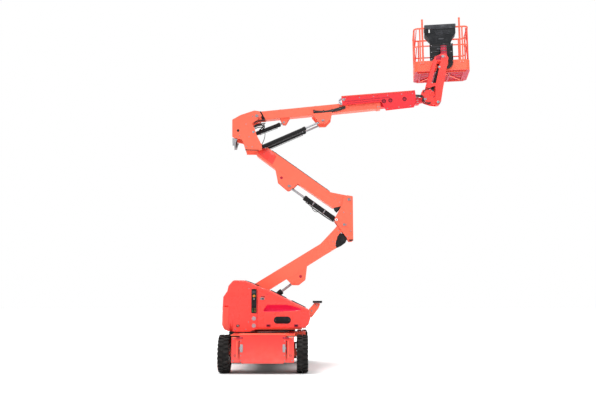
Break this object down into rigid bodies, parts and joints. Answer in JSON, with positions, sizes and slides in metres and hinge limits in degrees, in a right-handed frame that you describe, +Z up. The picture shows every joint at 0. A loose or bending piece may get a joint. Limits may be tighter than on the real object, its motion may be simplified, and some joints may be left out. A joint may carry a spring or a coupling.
{
  "type": "articulating boom lift",
  "caption": "Self-propelled articulating boom lift: four-wheeled chassis, slewing turret, folding riser, telescopic boom, jib and rotating work platform",
  "frame": {"origin": "middle of the machine's bounding box, on the ground between the tyres' contact plane", "axes": "+X is the way the boom points with the turret slewed a quarter turn, +Y runs along the chassis towards the steered wheels, +Z is up"},
  "size_m": [5.646, 2.744, 7.9599],
  "materials": {
    "black_paint": "satin",
    "black_plastic": "matte",
    "black_rubber": "matte",
    "case_plastic": "matte",
    "hood_plastic": "satin",
    "iron_orange": "satin",
    "orange_paint": "satin",
    "rim_paint": "satin",
    "ring_steel": "machined",
    "rod_chrome": "polished",
    "tyre_rubber": "matte"
  },
  "bodies": {
    "chassis": {"chassis_frame": "orange_paint", "deck": "orange_paint", "end_plates": "orange_paint", "drive_axle": "orange_paint", "steer_axle": "black_paint", "steering_cylinder": "black_paint", "side_step": "orange_paint", "step_nosing": "black_rubber", "slew_ring": "ring_steel"},
    "turret": {"turret_frame": "orange_paint", "counterweight": "iron_orange", "rear_hood_near": "hood_plastic", "rear_hood_far": "hood_plastic", "panel_post_near": "hood_plastic", "panel_post_far": "hood_plastic", "hood_hinges": "black_paint", "battery_packs": "case_plastic", "control_panel": "black_plastic", "rest_post": "orange_paint", "rest_pad": "black_rubber"},
    "side_hood_near": {"side_hood_near": "hood_plastic"},
    "side_hood_far": {"side_hood_far": "hood_plastic"},
    "steering_left": {"steering_knuckle_left": "black_paint"},
    "steering_right": {"steering_knuckle_right": "black_paint"},
    "track_rod": {"track_rod": "rod_chrome"},
    "wheel_rear_left": {"tyre_rear_left": "tyre_rubber", "rim_rear_left": "rim_paint"},
    "wheel_rear_right": {"tyre_rear_right": "tyre_rubber", "rim_rear_right": "rim_paint"},
    "wheel_front_left": {"tyre_front_left": "tyre_rubber", "rim_front_left": "rim_paint"},
    "wheel_front_right": {"tyre_front_right": "tyre_rubber", "rim_front_right": "rim_paint"},
    "lower_arm": {"lower_arm": "orange_paint"},
    "lift_barrel": {"lift_barrel": "black_paint"},
    "lift_rod": {"lift_rod": "rod_chrome"},
    "middle_knuckle": {"middle_knuckle": "orange_paint"},
    "upper_arm": {"upper_arm": "orange_paint"},
    "fold_barrel": {"fold_barrel": "black_paint"},
    "fold_rod": {"fold_rod": "rod_chrome"},
    "upper_knuckle": {"upper_knuckle": "orange_paint", "knuckle_flap": "black_rubber"},
    "base_boom": {"base_boom": "orange_paint"},
    "boom_barrels": {"boom_barrels": "black_paint"},
    "boom_rods": {"boom_rods": "rod_chrome"},
    "level_barrel": {"level_barrel": "black_paint"},
    "level_rod": {"level_rod": "rod_chrome"},
    "fly_boom": {"fly_boom": "orange_paint", "hose_tray": "orange_paint", "energy_chain": "black_plastic"},
    "jib_knuckle": {"jib_knuckle": "orange_paint"},
    "jib_arm": {"jib_arm": "orange_paint"},
    "jib_barrel": {"jib_barrel": "black_paint"},
    "jib_rod": {"jib_rod": "rod_chrome"},
    "platform_support": {"platform_support": "orange_paint"},
    "platform": {"platform_bracket": "black_paint", "platform_cage": "orange_paint", "platform_floor": "orange_paint", "platform_console": "black_plastic"},
    "platform_gate": {"platform_gate": "orange_paint"}
  },
  "joints": [
    {"name": "slew", "type": "hinge", "parent": "chassis", "child": "turret", "pos_m": [-1.93555, 0, 0.74], "axis": [0, 0, 1], "range_deg": [-87.5, 267.5]},
    {"name": "side_hood_near", "type": "hinge", "parent": "turret", "child": "side_hood_near", "pos_m": [-1.83155, -0.122, 1.6195], "axis": [-0.8984, 0, 0.4392], "range_deg": [0, 60]},
    {"name": "side_hood_far", "type": "hinge", "parent": "turret", "child": "side_hood_far", "pos_m": [-1.83155, 0.122, 1.6195], "axis": [0.8984, 0, -0.4392], "range_deg": [0, 60]},
    {"name": "steer_left", "type": "hinge", "parent": "chassis", "child": "steering_left", "pos_m": [-2.52055, 1, 0.372], "axis": [0, 0, 1], "range_deg": [-30, 30]},
    {"name": "steer_right", "type": "hinge", "parent": "chassis", "child": "steering_right", "pos_m": [-1.35055, 1, 0.372], "axis": [0, 0, 1], "range_deg": [-30, 30]},
    {"name": "track_rod_slide", "type": "slide", "parent": "chassis", "child": "track_rod", "axis": [1, 0, 0], "range_m": [-0.1, 0.1]},
    {"name": "wheel_rear_left_spin", "type": "hinge", "parent": "chassis", "child": "wheel_rear_left", "pos_m": [-2.71055, -1, 0.372], "axis": [1, 0, 0], "continuous": true},
    {"name": "wheel_rear_right_spin", "type": "hinge", "parent": "chassis", "child": "wheel_rear_right", "pos_m": [-1.16055, -1, 0.372], "axis": [1, 0, 0], "continuous": true},
    {"name": "wheel_front_left_spin", "type": "hinge", "parent": "steering_left", "child": "wheel_front_left", "pos_m": [-2.71055, 1, 0.372], "axis": [1, 0, 0], "continuous": true},
    {"name": "wheel_front_right_spin", "type": "hinge", "parent": "steering_right", "child": "wheel_front_right", "pos_m": [-1.16055, 1, 0.372], "axis": [1, 0, 0], "continuous": true},
    {"name": "lower_arm_lift", "type": "hinge", "parent": "turret", "child": "lower_arm", "pos_m": [-2.58555, 0, 1.6], "axis": [0, -1, 0], "range_deg": [-26, 28]},
    {"name": "lift_barrel_swing", "type": "hinge", "parent": "turret", "child": "lift_barrel", "pos_m": [-2.28555, 0, 1.1], "axis": [0, -1, 0], "range_deg": [-26.57, 28.46]},
    {"name": "lift_rod_slide", "type": "slide", "parent": "lift_barrel", "child": "lift_rod", "axis": [0.8017, 0, 0.5977], "range_m": [-0.2719, 0.2912]},
    {"name": "middle_knuckle_level", "type": "hinge", "parent": "lower_arm", "child": "middle_knuckle", "pos_m": [-0.23455, 0, 3.058], "axis": [0, -1, 0], "range_deg": [-30, 28]},
    {"name": "upper_arm_lift", "type": "hinge", "parent": "middle_knuckle", "child": "upper_arm", "pos_m": [-0.12755, 0, 3.617], "axis": [0, 1, 0], "range_deg": [-38, 26]},
    {"name": "fold_barrel_swing", "type": "hinge", "parent": "middle_knuckle", "child": "fold_barrel", "pos_m": [-0.40455, 0, 3.168], "axis": [0, 1, 0], "range_deg": [-40.57, 28.39]},
    {"name": "fold_rod_slide", "type": "slide", "parent": "fold_barrel", "child": "fold_rod", "axis": [-0.8107, 0, 0.5855], "range_m": [-0.3516, 0.2469]},
    {"name": "upper_knuckle_level", "type": "hinge", "parent": "upper_arm", "child": "upper_knuckle", "pos_m": [-2.11055, 0, 4.768], "axis": [0, 1, 0], "range_deg": [-28, 40]},
    {"name": "boom_lift", "type": "hinge", "parent": "upper_knuckle", "child": "base_boom", "pos_m": [-2.16955, 0, 5.488], "axis": [0, -1, 0], "range_deg": [-6, 64]},
    {"name": "boom_barrels_swing", "type": "hinge", "parent": "upper_knuckle", "child": "boom_barrels", "pos_m": [-2.11055, 0, 4.768], "axis": [0, -1, 0], "range_deg": [-6.53, 50.32]},
    {"name": "boom_rods_slide", "type": "slide", "parent": "boom_barrels", "child": "boom_rods", "axis": [0.9142, 0, 0.4053], "range_m": [-0.0765, 0.6232]},
    {"name": "level_barrel_swing", "type": "hinge", "parent": "upper_knuckle", "child": "level_barrel", "pos_m": [-2.23955, 0, 5.119], "axis": [0, -1, 0], "range_deg": [-5.99, 44.56]},
    {"name": "level_rod_slide", "type": "slide", "parent": "level_barrel", "child": "level_rod", "axis": [0.9292, 0, 0.3695], "range_m": [-0.0446, 0.2825]},
    {"name": "telescope", "type": "slide", "parent": "base_boom", "child": "fly_boom", "axis": [0.9948, 0, 0.102], "range_m": [-0.75, 1.2]},
    {"name": "jib_knuckle_level", "type": "hinge", "parent": "fly_boom", "child": "jib_knuckle", "pos_m": [1.62445, 0, 5.925], "axis": [0, -1, 0], "range_deg": [-66, 8]},
    {"name": "jib_lift", "type": "hinge", "parent": "jib_knuckle", "child": "jib_arm", "pos_m": [1.92145, 0, 5.85], "axis": [0, -1, 0], "range_deg": [-120, 0]},
    {"name": "jib_barrel_swing", "type": "hinge", "parent": "jib_arm", "child": "jib_barrel", "pos_m": [1.97945, 0, 6.68], "axis": [0, -1, 0], "range_deg": [-2, 7.4]},
    {"name": "jib_rod_slide", "type": "slide", "parent": "jib_barrel", "child": "jib_rod", "axis": [-0.3, 0, -0.9539], "range_m": [-0.02, 0.5227]},
    {"name": "platform_level", "type": "hinge", "parent": "jib_arm", "child": "platform_support", "pos_m": [2.06445, 0, 6.93], "axis": [0, -1, 0], "range_deg": [-2, 122]},
    {"name": "platform_rotate", "type": "hinge", "parent": "platform_support", "child": "platform", "pos_m": [2.10945, 0, 7.21], "axis": [0, 0, 1], "range_deg": [-172, 8]},
    {"name": "platform_gate_swing", "type": "hinge", "parent": "platform", "child": "platform_gate", "pos_m": [2.79515, 0.71149, 7.3], "axis": [0, 0, -1], "range_deg": [0, 90]}
  ],
  "couplings": [
    {"joint": "lift_barrel_swing", "follows": "lower_arm_lift", "ratio": 0.945},
    {"joint": "lift_rod_slide", "follows": "lower_arm_lift", "m_per_rad": 0.555},
    {"joint": "middle_knuckle_level", "follows": "lower_arm_lift", "ratio": -1},
    {"joint": "fold_barrel_swing", "follows": "upper_arm_lift", "ratio": 1.015},
    {"joint": "fold_rod_slide", "follows": "upper_arm_lift", "m_per_rad": 0.5},
    {"joint": "upper_knuckle_level", "follows": "upper_arm_lift", "ratio": -1},
    {"joint": "boom_barrels_swing", "follows": "boom_lift", "ratio": 0.755},
    {"joint": "boom_rods_slide", "follows": "boom_lift", "m_per_rad": 0.54},
    {"joint": "level_barrel_swing", "follows": "boom_lift", "ratio": 0.665},
    {"joint": "level_rod_slide", "follows": "boom_lift", "m_per_rad": 0.235},
    {"joint": "jib_knuckle_level", "follows": "boom_lift", "ratio": -1},
    {"joint": "jib_barrel_swing", "follows": "jib_lift", "ratio": -0.045},
    {"joint": "jib_rod_slide", "follows": "jib_lift", "m_per_rad": -0.24},
    {"joint": "platform_level", "follows": "jib_lift", "ratio": -1},
    {"joint": "steer_right", "follows": "steer_left", "ratio": 1},
    {"joint": "track_rod_slide", "follows": "steer_left", "m_per_rad": 0.19}
  ]
}
